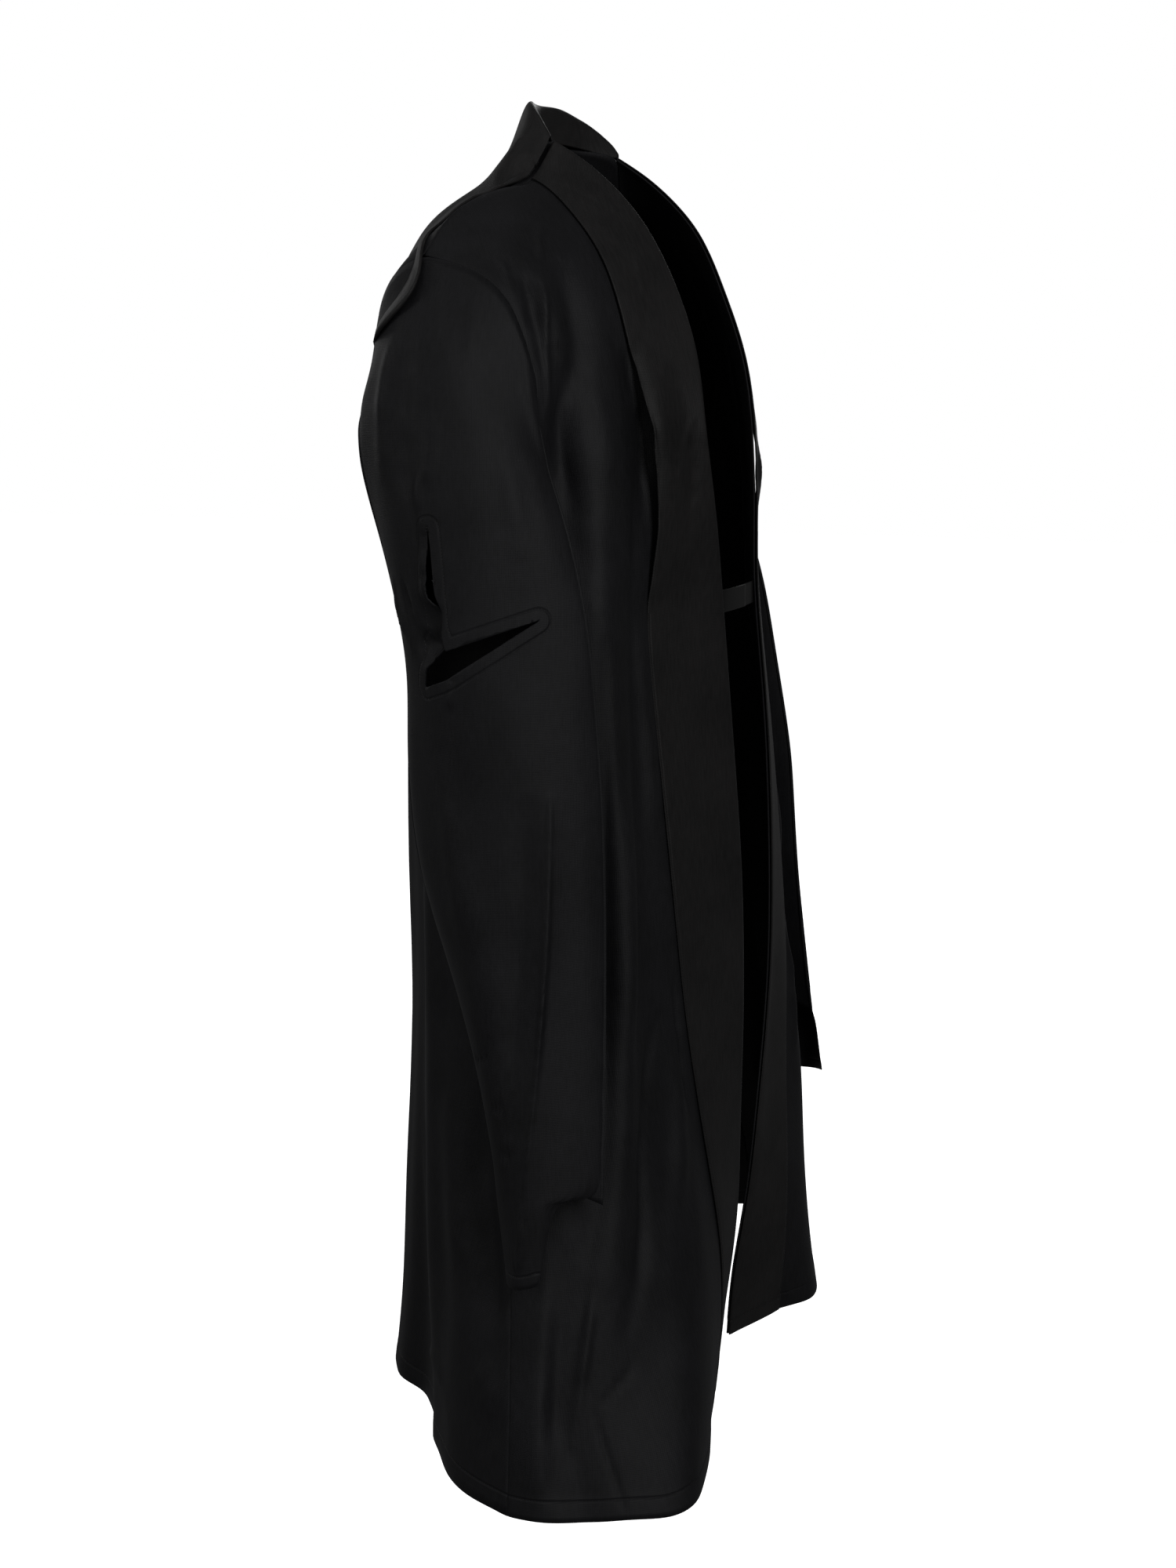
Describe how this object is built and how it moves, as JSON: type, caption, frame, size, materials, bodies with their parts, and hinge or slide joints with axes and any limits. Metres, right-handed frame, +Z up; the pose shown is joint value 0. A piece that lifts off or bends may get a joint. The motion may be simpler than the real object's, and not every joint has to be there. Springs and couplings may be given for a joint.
{
  "type": "judge gown",
  "caption": "Worn open-front court gown with wide front bands, square flap collar, waist tape and long closed hanging sleeves cut for the arms; hollow, as on a wearer.",
  "frame": {"origin": "middle of the neck at the height where the shoulder line starts", "axes": "+Z up, -Y to the wearer's front, -X to the wearer's right"},
  "size_m": [0.8196, 0.4457, 1.3224],
  "materials": {
    "gown_cloth": "matte, fine plain weave with a soft sheen",
    "tape": "satin"
  },
  "bodies": {
    "root": {"front_right": "gown_cloth", "front_left": "gown_cloth", "back": "gown_cloth", "sleeve_right_outer": "gown_cloth", "sleeve_right_under": "gown_cloth", "sleeve_left_outer": "gown_cloth", "sleeve_left_under": "gown_cloth", "band_right": "gown_cloth", "band_left": "gown_cloth", "collar": "gown_cloth", "waist_tape_right": "tape", "waist_tape_left": "tape"}
  },
  "joints": []
}
